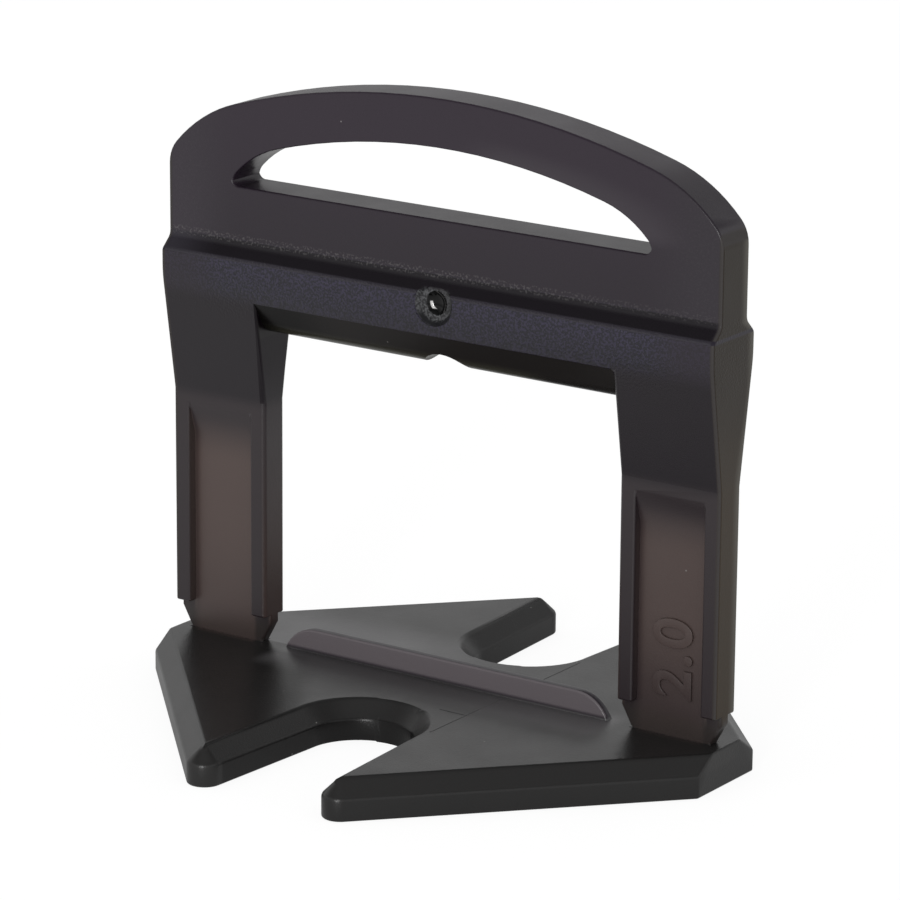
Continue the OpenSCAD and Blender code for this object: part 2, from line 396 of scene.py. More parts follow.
@dataclass(frozen=True)
class Zoning:
    """Masks of the clip's zones, worked out from the point being shaded.

    A number beside a named size says how far a mask goes past it, or how soft it is, in millimetres.
    """

    graph: Graph
    sizes: ClipSizes
    axes: tuple[Socket, ...]
    middle: Span = (-1.0, 1.0)
    front: Span = (0.0, -1.0)
    slant: Span = (0.82, 0.57)
    # Shares of the painted light through the webs: at their feet, on the +X leg and at the necks.
    web_foot_shares: Span = (0.8, 0.45)
    right_web_share: float = 0.84
    neck_share: float = 0.5
    # Width, starts and shares of the painted reflection along the fin's front.
    strip_width: float = 2.0
    strip_starts: Span = (-7.5, -2.0)
    strip_shares: Span = (0.7, 0.45)
    # Reach of the painted sheen behind the fin.
    rear_fade: Span = (8.0, 3.5)
    rear_left: Span = (7.0, -10.0)
    foot_patch: Span = (-10.6, -8.8)
    foot_front: Span = (-0.6, -1.4)
    rim_span: Span = (-10.0, 5.0)
    back_reach: float = 0.85
    brow_reach: float = 1.3
    brow_start: float = 5.0
    front_half: Span = (2.0, 0.0)
    rear_half: Span = (3.0, 5.0)
    left_rim: Span = (-15.2, -14.2)
    left_wall: Span = (-10.0, -12.0)
    end_coarseness: float = 0.35
    # Painted speckled sheen in the hollow fades towards +X; fainter grains on the handle's ends.
    sheen_right: Span = (5.0, 14.0)
    sheen_shares: Span = (1.0, 0.45)
    end_grains: float = 0.10

    @classmethod
    def at(cls, graph: Graph, sizes: ClipSizes, point: Socket) -> "Zoning":
        """Sets the masks up for a point: its x, y and z, and how far it is from the two middle planes."""
        x, y, z = graph.axes(point)
        return cls(graph, sizes, (x, y, z, graph.calc(Op.SIZE, x), graph.calc(Op.SIZE, y)))

    def meet(self, *parts: Part) -> Socket:
        """Mask of where several parts meet.

        Args:
            parts: Masks, steps (a value, the places of 0 and 1) or bands (a value, two ends, a border).

        Returns:
            Their product.
        """
        makers = {3: self.graph.rise, 4: self.graph.within}
        return self.graph.all_of(*(makers[len(p)](*p) if isinstance(p, tuple) else p for p in parts))

    def on_plate(self) -> Masks:
        """Masks on the plate and its fin.

        Returns:
            The masks, by zone.
        """
        s, graph, meet = self.sizes, self.graph, self.meet
        x, y, z, across, deep = self.axes
        top, edge, length, half = s.plate_top, s.plate_edge, s.fin_half_length, s.fin_half_thickness
        plate = meet((z, top + 0.15, top))
        face = meet(plate, (z, top - 0.2, top - 0.05))
        slopes = meet((z, top - 0.05, top - 0.2))
        sideways = graph.calc(Op.ADD, *(graph.calc(Op.TIMES, *part) for part in zip((x, y), self.slant)))
        walls = graph.any_of(meet((z, edge - 0.1, edge + 0.1)), meet((sideways, *self.left_wall)))
        # Painted reflection along the fin's front, its strength varying along the fin.
        strip_ends = graph.any_of(
            graph.ramp(x, (self.strip_starts[1], length - 1.0), (self.strip_shares[1], 1.0)),
            graph.ramp(x, (self.strip_starts[0], -length), (0.0, self.strip_shares[0])),
        )
        strip = meet((y, -half - self.strip_width, -half, 1.8), (x, 0.6 - length, length, 1.2), strip_ends)
        return {
            Zone.PLATE: plate,
            # Painted light on the plate's front bevels and walls.
            Zone.PLATE_RIMS: meet(slopes, (y, *self.front_half), (sideways, *self.left_rim), walls),
            Zone.REAR_RIMS: meet(slopes, (y, *self.rear_half)),
            # Painted shade in the notches.
            Zone.NOTCH_WALLS: meet(
                (z, edge + 0.1, edge),
                (across, s.notch_half_width + 0.2, s.notch_half_width),
                (deep, s.notch_start, s.notch_stop, 0.3),
            ),
            Zone.BESIDE_FIN: meet(face, strip),
            Zone.BEHIND_FIN: meet(face, (y, *self.rear_fade), (y, 0.0, half), (x, *self.rear_left)),
            Zone.BESIDE_FOOT: meet(face, (sideways, *self.foot_patch, 1.6), (y, *self.foot_front)),
            # Painted light coming through the fin.
            Zone.FIN: meet(
                (across, length + 0.1, length),
                (deep, half - 0.08, half + 0.02, 0.04),
                (z, top + 0.05, top + 0.32),
                (z, s.fin_top + 0.2, s.fin_top + 0.1),
            ),
        }

    def webs(self) -> Socket:
        """Mask of the painted light that comes through the thin webs, across their width and up the legs,
        fading in slowly over each web's -X border as painted shade beside the rib.

        Returns:
            The mask.
        """
        s, graph, meet = self.sizes, self.graph, self.meet
        x, _, z, _, deep = self.axes
        near, far = s.panel_span
        sides = ((-far, -near), (near, far))
        widths = [meet((x, low - 0.4, low + 0.5), (x, high + 0.1, high - 0.3)) for low, high in sides]
        foot_share = graph.ramp(x, self.middle, self.web_foot_shares)
        return meet(
            graph.any_of(*widths),
            graph.ramp(x, self.middle, (1.0, self.right_web_share)),
            (deep, s.web_half_thickness + 0.6, s.web_half_thickness + 0.15),
            (z, s.panel_top - 0.2, s.panel_floor_top - 1.6),
            graph.ramp(z, (s.neck_top, s.neck_top + 6.0), (foot_share, 1.0)),
            graph.ramp(z, (s.plate_top, s.neck_top + 1.0), (self.neck_share, 1.0)),
        )

    def on_legs(self) -> Masks:
        """Masks on the legs.

        Returns:
            The masks, by zone.
        """
        s, meet = self.sizes, self.meet
        _, _, z, across, deep = self.axes
        window, thick, flank, foot = s.window_half_width, s.bar_half_thickness, s.panel_span[1], s.plate_top
        outside = meet((across, window - 0.2, window - 0.1))
        legs = meet(outside, (deep, thick + 0.2, thick), (z, s.leg_top + 0.4, s.leg_top - 0.6))
        inner = meet(
            (across, window - 0.1, window - 0.05),
            (across, window + 0.3, window + 0.06),
            (z, s.window_top, s.window_top - 0.2),
        )
        flat = (across, window + 0.06, window + 0.02)
        return {
            Zone.LEGS: legs,
            # Painted shade under the crossbar.
            Zone.SHOULDERS: meet(outside, (z, s.leg_top, s.window_top - 0.5, 1.2)),
            Zone.PANELS: self.webs(),
            # Painted light on the ribs' inner flanks.
            Zone.RIB_FLANKS: meet(
                (across, flank - 0.06, flank + 0.06, 0.06),
                (deep, s.rib_half_thickness, s.rib_half_thickness - 0.12),
                (z, s.neck_top, s.panel_top - 1.0, 0.8),
            ),
            Zone.NECKS: meet(legs, (z, foot, foot + 0.05), (z, s.neck_top + 0.6, s.neck_top - 0.5)),
            # Painted light on the legs' faces towards the window.
            Zone.INNER_SIDES: meet(inner, (z, s.leg_top, s.neck_top + 2.0)),
            Zone.INNER_TOPS: meet(inner, flat, (z, s.leg_top - 3.0, s.leg_top + 3.0)),
        }

    def on_frame(self) -> Masks:
        """Masks on the frame's outer faces and the handle.

        Returns:
            The masks, by zone.
        """
        s, graph, meet = self.sizes, self.graph, self.meet
        x, y, z, across, _ = self.axes
        side, foot = s.frame_half_width, s.ledge_top
        above_necks = meet((z, s.neck_top - 0.3, s.neck_top))
        sides = meet((across, side - 0.30, side - 0.08), above_necks)
        rims = meet((across, side - 0.30, side - 0.14), (across, side - 0.005, side - 0.04))
        half = graph.ramp(z, (s.panel_top, s.window_top), (s.rib_half_thickness, s.bar_half_thickness))
        half = graph.ramp(z, (s.ledge_foot, foot), (half, s.handle_half_thickness))
        ends = meet((across, s.window_half_width + 1.0, side - 1.0), (z, foot, foot + 0.5))
        aside = graph.calc(Op.TIMES, x, 1.0 / s.slot_half_width)
        above = graph.calc(Op.TIMES, graph.calc(Op.LESS, z, s.sill), 1.0 / s.slot_rise)
        # Painted speckled sheen in the hollow above the ledge, fading towards +X, and fainter grains on the
        # handle's ends.
        hollow = meet((z, foot + 0.22, foot + 0.52, 0.18), graph.ramp(x, self.sheen_right, self.sheen_shares))
        speckled = graph.any_of(hollow, graph.calc(Op.TIMES, ends, self.end_grains))
        return {
            # Painted light on the outer faces.
            Zone.SIDES: sides,
            Zone.SIDE_BACKS: meet(sides, (graph.calc(Op.LESS, y, half), -self.back_reach, 0.0)),
            # Painted sheen on the rounded corners.
            Zone.CORNERS: meet(rims, above_necks),
            Zone.HANDLE_ENDS: ends,
            # Painted light along the +X half of the slot's upper rim.
            Zone.SLOT_BROW: meet(
                (graph.reach(aside, above), self.brow_reach, 1.0),
                (x, self.brow_start, s.slot_half_width, 4.0),
                (z, s.sill + 0.2, s.sill + 1.2),
            ),
            Zone.GRIT: meet(speckled, (across, side - 0.1, side - 0.5)),
        }

    def on_gate(self) -> Masks:
        """Masks on the moulding gate's mark.

        Returns:
            The masks, by zone.
        """
        s, graph, meet = self.sizes, self.graph, self.meet
        x, y, z, _, _ = self.axes
        rim, pit, mid, front = s.gate_radius, s.pit_radius, s.gate_z, (y, *self.front)
        reach = graph.reach(graph.calc(Op.LESS, x, s.gate_x), graph.calc(Op.LESS, z, mid))
        ring = meet((reach, rim - 0.04, rim - 0.12), (z, s.ledge_foot + 0.45, s.ledge_foot + 0.1), front)
        return {
            Zone.GATE_RING: ring,
            Zone.GATE_CRESCENT: meet(ring, (reach, rim - 0.34, rim - 0.2), (z, mid - 0.3, mid - 0.8)),
            Zone.PIT: meet((reach, pit + 0.02, pit - 0.05), front),
            # Painted highlight in the pit.
            Zone.TORN_FLECK: meet(
                (reach, pit - 0.27, pit - 0.19, 0.05),
                (z, mid - 0.36, mid - 0.02, 0.08),
                (x, s.gate_x, s.gate_x - 0.2),
                front,
            ),
        }

    def on_bar(self, ring: Socket) -> Masks:
        """Masks on the crossbar.

        Args:
            ring: Mask of the gate's dimple, which is smooth.

        Returns:
            The masks, by zone.
        """
        s, graph, meet = self.sizes, self.graph, self.meet
        x, _, z, across, _ = self.axes
        side, window, foot = s.frame_half_width, s.window_half_width, s.bead_foot
        bead = meet((z, foot - 0.2, s.window_top - 0.06, 0.05), (across, window + 0.05, window - 0.05))
        ledge = meet((z, s.ledge_foot + 0.18, s.ledge_top + 0.26, 0.08), (across, side - 0.1, side - 0.4))
        return {
            Zone.BEAD: bead,
            # Painted reflection of the floor on the bead's lowest part.
            Zone.BEAD_RIM: meet(bead, (z, foot + 0.9, foot + 0.1), (x, *self.rim_span, 3.0)),
            # Painted shade on the ledge.
            Zone.LEDGE: ledge,
            # Painted highlight on the ledge's lower edge.
            Zone.LEDGE_LIP: meet((z, s.ledge_foot - 0.02, s.ledge_foot + 0.12, 0.08)),
            Zone.BAR: meet(
                (z, s.window_top - 2.2, s.bar_foot),
                (z, s.ledge_top + 0.45, s.ledge_top + 0.05),
                graph.ramp(across, (side - 1.5, side - 5.0), (self.end_coarseness, 1.0)),
                (graph.any_of(bead, ledge, ring), 1.0, 0.0),
            ),
        }

    def masks(self) -> Masks:
        """All the masks, by zone."""
        gate = self.on_gate()
        return self.on_plate() | self.on_legs() | self.on_frame() | gate | self.on_bar(gate[Zone.GATE_RING])


@dataclass(frozen=True)
class SatinPlastic:
    """Black moulded plastic: satin, coarse on the crossbar, painted lighter where it is thin as light comes
    through, with painted light and shade in many zones.

    The coats and the levels of the gloss are laid over each other in their order.
    """

    sizes: ClipSizes
    name: str = "black_satin_plastic"
    # Handle's colour; painted light makes it lighter upwards.
    handle_black: Colour = (0.0135, 0.0076, 0.0146)
    coats: tuple[tuple[Zone, Colour], ...] = (
        # Painted light on the handle's ends.
        (Zone.HANDLE_ENDS, (0.0165, 0.0118, 0.0178)),
        (Zone.BAR, (0.0066, 0.0054, 0.012)),
        # Painted shade under the crossbar.
        (Zone.SHOULDERS, (0.0034, 0.0006, 0.0036)),
        (Zone.LEGS, (0.019, 0.0132, 0.0155)),
        # Painted light on the ribs' inner flanks.
        (Zone.RIB_FLANKS, (0.045, 0.034, 0.032)),
        # Painted light on the legs' faces towards the window.
        (Zone.INNER_SIDES, (0.0385, 0.0245, 0.022)),
        # Painted light along the slot's upper rim.
        (Zone.SLOT_BROW, (0.029, 0.022, 0.03)),
        # Painted light on the outer faces.
        (Zone.SIDES, (0.013, 0.008, 0.003)),
        (Zone.SIDE_BACKS, (0.078, 0.072, 0.06)),
        # Painted sheen on the rounded corners.
        (Zone.CORNERS, (0.044, 0.04, 0.039)),
        # Painted highlight on the ledge's lower edge.
        (Zone.LEDGE_LIP, (0.02, 0.017, 0.0245)),
        # Painted shade on the ledge.
        (Zone.LEDGE, (0.0048, 0.0029, 0.0056)),
        (Zone.BEAD, (0.013, 0.0115, 0.011)),
        # Painted reflection of the floor on the bead's lowest part.
        (Zone.BEAD_RIM, (0.04, 0.0385, 0.028)),
        (Zone.PLATE, (0.01, 0.0096, 0.0095)),
        # Painted light on the plate's front bevels and walls.
        (Zone.PLATE_RIMS, (0.014, 0.0134, 0.0132)),
        # Painted shade in the notches.
        (Zone.NOTCH_WALLS, (0.0065, 0.006, 0.006)),
        # Painted reflection along the fin's front.
        (Zone.BESIDE_FIN, (0.074, 0.0715, 0.0735)),
        # Painted sheen behind the fin.
        (Zone.BEHIND_FIN, (0.06, 0.058, 0.0615)),
        (Zone.NECKS, (0.02, 0.0155, 0.0145)),
        # Painted light coming through the webs.
        (Zone.PANELS, (0.068, 0.0465, 0.0415)),
        # Painted light coming through the fin.
        (Zone.FIN, (0.108, 0.094, 0.102)),
        (Zone.GATE_RING, (0.0095, 0.0094, 0.011)),
        (Zone.GATE_CRESCENT, (0.005, 0.005, 0.007)),
        (Zone.PIT, (0.0035, 0.0035, 0.0035)),
        # Painted highlight in the pit.
        (Zone.TORN_FLECK, (0.6, 0.59, 0.58)),
    )
    # Lighter colour of the ledge's -X end: painted light.
    ledge_end_black: Colour = (0.02, 0.017, 0.0245)
    ring_grey: Colour = (0.066, 0.067, 0.071)
    # Light grey of the dusty specks, and of the painted speckled sheen.
    dust_and_sheen: Colour = (0.3, 0.29, 0.28)
    ior: float = 1.47
    satin_roughness: float = 0.36
    plate_roughness: float = 0.32
    bead_roughness: float = 0.24
    pit_roughness: float = 0.06
    gloss: float = 0.5
    gloss_levels: tuple[tuple[Zone, float], ...] = (
        (Zone.BEAD, 0.12), (Zone.INNER_TOPS, 0.25), (Zone.LEDGE, 0.36), (Zone.REAR_RIMS, 0.30),
        (Zone.SIDES, 0.28), (Zone.CORNERS, 0.10), (Zone.NOTCH_WALLS, 0.38), (Zone.BEHIND_FIN, 0.92),
        (Zone.BESIDE_FOOT, 0.17), (Zone.PIT, 0.25),
    )
    spark_grain: float = 0.14
    spark_detail: float = 1.0
    spark_depth: float = 0.045
    spark_lift: float = 3.4
    spark_step: Span = (0.42, 0.62)
    # Painted shade: the crossbar darkens towards its lower edge.
    bar_shades: Span = (0.6, 1.0)
    # Painted light: the handle runs from darker just above the ledge to lighter this far up.
    handle_rise: float = 8.0
    handle_shades: Span = (0.82, 1.25)
    # Painted light: the handle's ends grow lighter towards -X.
    end_left: Span = (-13.0, -18.5)
    end_shades: Span = (1.0, 1.25)
    # Painted light: the outer faces grow lighter from the window's top down to this far below the legs' tops.
    side_fade: float = 2.0
    side_shades: Span = (1.0, 2.0)
    # Painted light: the ledge grows lighter towards its -X end, over this span.
    ledge_left: Span = (-15.0, -18.8)
    # Painted shade: the bead darkens towards its -X end.
    bead_left: Span = (-6.0, -10.5)
    bead_shades: Span = (1.0, 0.25)
    streak_length: float = 0.13
    streak_detail: float = 3.0
    streak_step: Span = (0.42, 0.60)
    # Painted shade: the dimple darkens towards +X.
    ring_start: float = -0.2
    ring_shades: Span = (1.0, 0.4)
    dust_spacing: float = 1.1
    dust_share: Span = (0.10, 0.09)
    dust_size: Span = (0.055, 0.0275)
    dust_strength: float = 0.5
    # Grain, step and share of the painted speckled sheen.
    sheen_grain: float = 0.15
    sheen_step: Span = (0.50, 0.64)
    sheen_strength: float = 0.14
    fine_grain: float = 0.09
    fine_depth: float = 0.010
    fine_strengths: Span = (0.6, 1.0)
    smooth_strength: float = 0.05
    wave_length: float = 3.0
    wave_detail: float = 3.0
    wave_depth: float = 0.03
    wave_strength: float = 0.5
    unevenness: Span = (-0.05, 0.05)

    def colour(self, graph: Graph, masks: Masks, point: Feed, sparks: Feed) -> Socket:
        """Colour over the whole clip.

        Args:
            graph: The tree that it is built in.
            masks: Masks of the clip's zones.
            point: The point being shaded, in millimetres.
            sparks: Noise of the coarse faces.

        Returns:
            The colour.
        """
        s = self.sizes
        x, _, z = graph.axes(point)
        streaks = graph.noise(point, self.streak_length, self.streak_detail)
        lit_bar = tuple(c * self.spark_lift for c in dict(self.coats)[Zone.BAR])
        blends = {
            Zone.BAR: (graph.rise(sparks, *self.spark_step), lit_bar),
            # Painted light towards the ledge's -X end.
            Zone.LEDGE: (graph.rise(x, *self.ledge_left), self.ledge_end_black),
            Zone.GATE_RING: (graph.rise(streaks, *self.streak_step), self.ring_grey),
        }
        ring_span = (s.gate_x + self.ring_start, s.gate_x + s.gate_radius)
        shades = {
            # Painted light: the handle's ends grow lighter towards -X.
            Zone.HANDLE_ENDS: graph.ramp(x, self.end_left, self.end_shades),
            # Painted shade: the crossbar darkens towards its lower edge.
            Zone.BAR: graph.ramp(z, (s.window_top, s.ledge_foot), self.bar_shades),
            # Painted light: the outer faces grow lighter downwards.
            Zone.SIDES: graph.ramp(z, (s.window_top, s.leg_top - self.side_fade), self.side_shades),
            # Painted shade: the bead darkens towards its -X end.
            Zone.BEAD: graph.ramp(x, self.bead_left, self.bead_shades),
            # Painted shade: the dimple darkens towards +X.
            Zone.GATE_RING: graph.ramp(x, ring_span, self.ring_shades),
        }
        # Painted light: the handle grows lighter upwards.
        height = (s.ledge_top, s.ledge_top + self.handle_rise)
        colour = graph.scaled(self.handle_black, graph.ramp(z, height, self.handle_shades))
        for zone, coat in self.coats:
            if zone in blends:
                mask, other = blends[zone]
                coat = graph.tint(mask, coat, other)
            if zone in shades:
                coat = graph.scaled(coat, shades[zone])
            colour = graph.tint(masks[zone], colour, coat)
        # Painted speckled sheen, then dusty specks, in light grey.
        grains = graph.rise(graph.noise(point, self.sheen_grain), *self.sheen_step)
        sheen_specks = graph.all_of(grains, masks[Zone.GRIT], self.sheen_strength)
        return graph.tint(graph.any_of(self.specks(graph, point), sheen_specks), colour, self.dust_and_sheen)

    def specks(self, graph: Graph, point: Feed) -> Socket:
        """Mask of scattered dusty specks: a small dot in some cells of a loose grid.

        Args:
            graph: The tree that it is built in.
            point: The point being shaded, in millimetres.

        Returns:
            The mask.
        """
        cells = graph.add("ShaderNodeTexVoronoi", {"Vector": point, "Scale": 1 / self.dust_spacing}).outputs
        chosen = graph.rise(graph.axes(cells["Color"])[0], *self.dust_share)
        return graph.all_of(chosen, graph.rise(cells["Distance"], *self.dust_size), self.dust_strength)

    def roughness(self, graph: Graph, masks: Masks, cloud: Feed) -> Socket:
        """Roughness over the whole clip.

        Args:
            graph: The tree that it is built in.
            masks: Masks of the clip's zones.
            cloud: Slow noise that makes the satin uneven.

        Returns:
            The roughness.
        """
        rough = graph.mixed(masks[Zone.PLATE], self.satin_roughness, self.plate_roughness)
        rough = graph.mixed(masks[Zone.BEAD], rough, self.bead_roughness)
        rough = graph.calc(Op.ADD, rough, graph.mixed(cloud, *self.unevenness))
        return graph.mixed(masks[Zone.PIT], rough, self.pit_roughness)

    def shine(self, graph: Graph, masks: Masks) -> Socket:
        """Strength of the gloss over the whole clip.

        Args:
            graph: The tree that it is built in.
            masks: Masks of the clip's zones.

        Returns:
            The strength.
        """
        shine: Feed = self.gloss
        for zone, level in self.gloss_levels:
            shine = graph.mixed(masks[zone], shine, level)
        return shine

    def build(self) -> bpy.types.Material:
        """Builds the finish.

        Returns:
            The material.
        """
        material = bpy.data.materials.new(self.name)
        material.use_nodes = True
        graph = Graph(material.node_tree)
        point = graph.millimetres()
        masks = Zoning.at(graph, self.sizes, point).masks()
        cloud = graph.noise(point, self.wave_length, self.wave_detail)
        sparks = graph.noise(point, self.spark_grain, self.spark_detail)
        waves = graph.emboss(cloud, self.wave_depth, self.wave_strength)
        smooth = graph.any_of(masks[Zone.BEAD], masks[Zone.PIT])
        strength = graph.mixed(masks[Zone.PLATE], *self.fine_strengths)
        strength = graph.mixed(smooth, strength, self.smooth_strength)
        fine = graph.emboss(graph.noise(point, self.fine_grain), self.fine_depth, strength, waves)
        inputs = {
            "Base Color": self.colour(graph, masks, point, sparks),
            "Roughness": self.roughness(graph, masks, cloud),
            "IOR": self.ior,
            "Specular IOR Level": self.shine(graph, masks),
            "Normal": graph.emboss(sparks, self.spark_depth, masks[Zone.BAR], fine),
        }
        shader = graph.add("ShaderNodeBsdfPrincipled", inputs)
        graph.add("ShaderNodeOutputMaterial", {"Surface": shader.outputs["BSDF"]})
        return material


@dataclass
class ClipBody:
    """The moulding itself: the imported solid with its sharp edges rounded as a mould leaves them."""

    sizes: ClipSizes
    finish: bpy.types.Material
    name: str = "clip_body"
    edge_rounding: float = 0.13
    window_rounding: float = 0.30
    long_edge: float = 2.0
    flat_width: float = 0.6
    same_plane: float = 0.99999
    sharp_angle: float = 34.0
    crease_angle: float = 5.0
    shortest_edge: float = 0.05
    thinnest_face: float = 0.3
    level_error: float = 0.03
    merge_distance: float = 0.0002
    no_width: float = 0.001
    slack: float = 0.1
    margin: float = 0.2
    segments: int = 3

    def merged_copy(self) -> Piece:
        """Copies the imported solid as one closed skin.

        Returns:
            The copy.
        """
        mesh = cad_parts[NODE].data.copy()
        piece = bpy.data.objects.new(self.name, mesh)
        bpy.context.scene.collection.objects.link(piece)
        select_only(piece)
        bpy.ops.mesh.customdata_custom_splitnormals_clear()
        bpy.ops.object.mode_set(mode="EDIT")
        bpy.ops.mesh.select_all(action="SELECT")
        bpy.ops.mesh.remove_doubles(threshold=self.merge_distance * MM)
        bpy.ops.object.mode_set(mode="OBJECT")
        self.drop_slivers(piece)
        return piece

    def is_thin(self, edge: Edge) -> bool:
        """Tells whether an edge lies in a flat and bounds a face too thin to take a rounding.

        Args:
            edge: An edge of the closed skin.

        Returns:
            True if it does.
        """
        faces = edge.link_faces
        if len(faces) != 2 or faces[0].normal.dot(faces[1].normal) < self.same_plane:
            return False
        heights = [2 * face.calc_area() / max(side.calc_length() for side in face.edges) for face in faces]
        return min(heights) < self.thinnest_face * MM

    def drop_slivers(self, piece: Piece) -> None:
        """Closes up tiny edges and faces without area, and joins thin triangles to their flats.

        Args:
            piece: The closed skin.
        """
        with skin_of(piece) as skin:
            tiny = [edge for edge in skin.edges if edge.calc_length() < self.shortest_edge * MM]
            bmesh.ops.collapse(skin, edges=tiny)
            bmesh.ops.dissolve_degenerate(skin, dist=self.no_width * MM, edges=skin.edges)
            skin.normal_update()
            thin = [edge for edge in skin.edges if self.is_thin(edge)]
            bmesh.ops.dissolve_edges(skin, edges=thin, use_verts=False, use_face_split=False)

    def stays_sharp(self, edge: Edge) -> bool:
        """Tells whether an edge belongs to the gate mark on the front or to the groove across the bead.

        Args:
            edge: An edge of the closed skin.

        Returns:
            True if it does.
        """
        s = self.sizes
        ends = [corner.co / MM for corner in edge.verts]
        middle = (ends[0] + ends[1]) / 2
        aside = math.hypot(middle.x - s.gate_x, middle.z - s.gate_z)
        if aside < s.gate_radius + self.margin and middle.y < 0:
            return True
        groove_side = s.groove_half_width + self.slack
        groove_top = s.bead_foot + s.groove_depth + self.margin
        return all(abs(end.x - s.gate_x) < groove_side and end.z < groove_top for end in ends)

    def lies_at(self, edge: Edge, *levels: float) -> bool:
        """Tells whether both ends of an edge lie at one of the given heights."""
        heights = [corner.co.z / MM for corner in edge.verts]
        return any(all(abs(z - level) < self.level_error for z in heights) for level in levels)

    def rounding(self, edge: Edge) -> float:
        """How far an outer edge is rounded: the window's upright edges most.

        Args:
            edge: An edge of the closed skin.

        Returns:
            The rounding, in millimetres.
        """
        s = self.sizes
        places = [(abs(corner.co.x) / MM, corner.co.z / MM) for corner in edge.verts]
        long = edge.calc_length() > self.long_edge * MM
        above = all(z > s.neck_top - self.slack for _, z in places)
        beside = all(abs(x - s.window_half_width) < self.level_error for x, _ in places)
        return self.window_rounding if long and above and beside else self.edge_rounding

    def mark_edges(self, piece: Piece) -> None:
        """Marks how far each outer edge is rounded.

        Args:
            piece: The closed skin.
        """
        with skin_of(piece) as skin:
            weight = skin.edges.layers.float.new("bevel_weight_edge")
            for edge in skin.edges:
                outer = edge.is_convex and math.degrees(edge.calc_face_angle()) >= self.sharp_angle
                if outer and not self.stays_sharp(edge):
                    edge[weight] = self.rounding(edge) / self.window_rounding

    def facets(self, mesh: bpy.types.Mesh) -> set[int]:
        """Finds the facets of curves: faces in one plane that are narrower than any flat of the clip.

        Args:
            mesh: The rounded skin.

        Returns:
            The faces' numbers.
        """
        skin = bmesh.new()
        skin.from_mesh(mesh)
        skin.faces.ensure_lookup_table()
        found: set[int] = set()
        left = set(range(len(skin.faces)))
        while left:
            seed = skin.faces[left.pop()]
            group, queue = [seed], [seed]
            while queue:
                for edge in queue.pop().edges:
                    for other in edge.link_faces:
                        if other.index in left and other.normal.dot(seed.normal) > self.same_plane:
                            left.remove(other.index)
                            group.append(other)
                            queue.append(other)
            corners = [corner.co for face in group for corner in face.verts]
            reach = max(max(c[i] for c in corners) - min(c[i] for c in corners) for i in range(3))
            if sum(face.calc_area() for face in group) < self.flat_width * MM * reach:
                found.update(face.index for face in group)
        skin.free()
        return found

    def weaken_facets(self, piece: Piece) -> None:
        """Lets the flats, and not the facets beside them, set the shading where the two meet.

        Args:
            piece: The rounded skin.
        """
        facets = self.facets(piece.data)
        edit_faces(piece, lambda face: face.index in facets)
        bpy.ops.mesh.mod_weighted_strength(set=True, face_strength="MEDIUM")
        bpy.ops.object.mode_set(mode="OBJECT")

    def shade(self, piece: Piece) -> None:
        """Shades the skin smooth, but for its inner corners and the creases of the crossbar.

        Args:
            piece: The rounded skin.
        """
        s = self.sizes
        select_only(piece)
        bpy.ops.object.shade_smooth_by_angle(angle=math.radians(self.sharp_angle))
        with skin_of(piece) as skin:
            for edge in skin.edges:
                turn = math.degrees(edge.calc_face_angle())
                if turn > self.crease_angle and self.lies_at(edge, s.leg_top, s.window_top):
                    edge.smooth = False
        modify(piece, "WEIGHTED_NORMAL", keep_sharp=True, use_face_influence=True)

    def build(self) -> None:
        """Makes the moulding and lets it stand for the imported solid."""
        piece = self.merged_copy()
        self.mark_edges(piece)
        shape = {"width": self.window_rounding * MM, "segments": self.segments, "limit_method": "WEIGHT"}
        corners = {"use_clamp_overlap": False, "loop_slide": False, "face_strength_mode": "FSTR_ALL"}
        modify(piece, "BEVEL", **shape, **corners)
        self.weaken_facets(piece)
        self.shade(piece)
        settle(piece, self.finish)
        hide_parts(NODE)


@dataclass
class WitnessLines:
    """Fine ridges that the mould's inserts leave on the plate, each with its two ends in plan."""

    sizes: ClipSizes
    finish: bpy.types.Material
    name: str = "witness_lines"
    width: float = 0.16
    height: float = 0.018
    crest_share: float = 0.3
    facing_up: float = 0.9
    ends: tuple[tuple[Span, Span], ...] = (((4.4, -7.8), (4.4, 7.5)), ((2.6, -4.25), (4.4, -4.25)))

    def ridge(self, start: Span, stop: Span) -> Piece:
        """Makes one ridge.

        Args:
            start: One end, in millimetres of the plan.
            stop: The other end.

        Returns:
            The ridge, standing a little into the plate.
        """
        first, last = Vector(start), Vector(stop)
        run = last - first
        middle = (first + last) / 2
        bpy.ops.object.select_all(action="DESELECT")
        bpy.ops.mesh.primitive_cube_add(size=1)
        ridge = bpy.context.object
        edit_faces(ridge, lambda face: face.normal.z > self.facing_up)
        bpy.ops.transform.resize(value=(1.0, self.crest_share, 1.0))
        bpy.ops.object.mode_set(mode="OBJECT")
        ridge.scale = Vector((run.length, self.width, 2 * self.height)) * MM
        ridge.rotation_euler.z = math.atan2(run.y, run.x)
        ridge.location = Vector((middle.x, middle.y, self.sizes.plate_top)) * MM
        return ridge

    def build(self) -> None:
        """Makes all the ridges as one piece."""
        ridges = [self.ridge(start, stop) for start, stop in self.ends]
        bpy.ops.object.select_all(action="DESELECT")
        for ridge in ridges:
            ridge.select_set(True)
        bpy.context.view_layer.objects.active = ridges[0]
        bpy.ops.object.transform_apply()
        bpy.ops.object.join()
        piece = bpy.context.object
        piece.name = self.name
        settle(piece, self.finish)


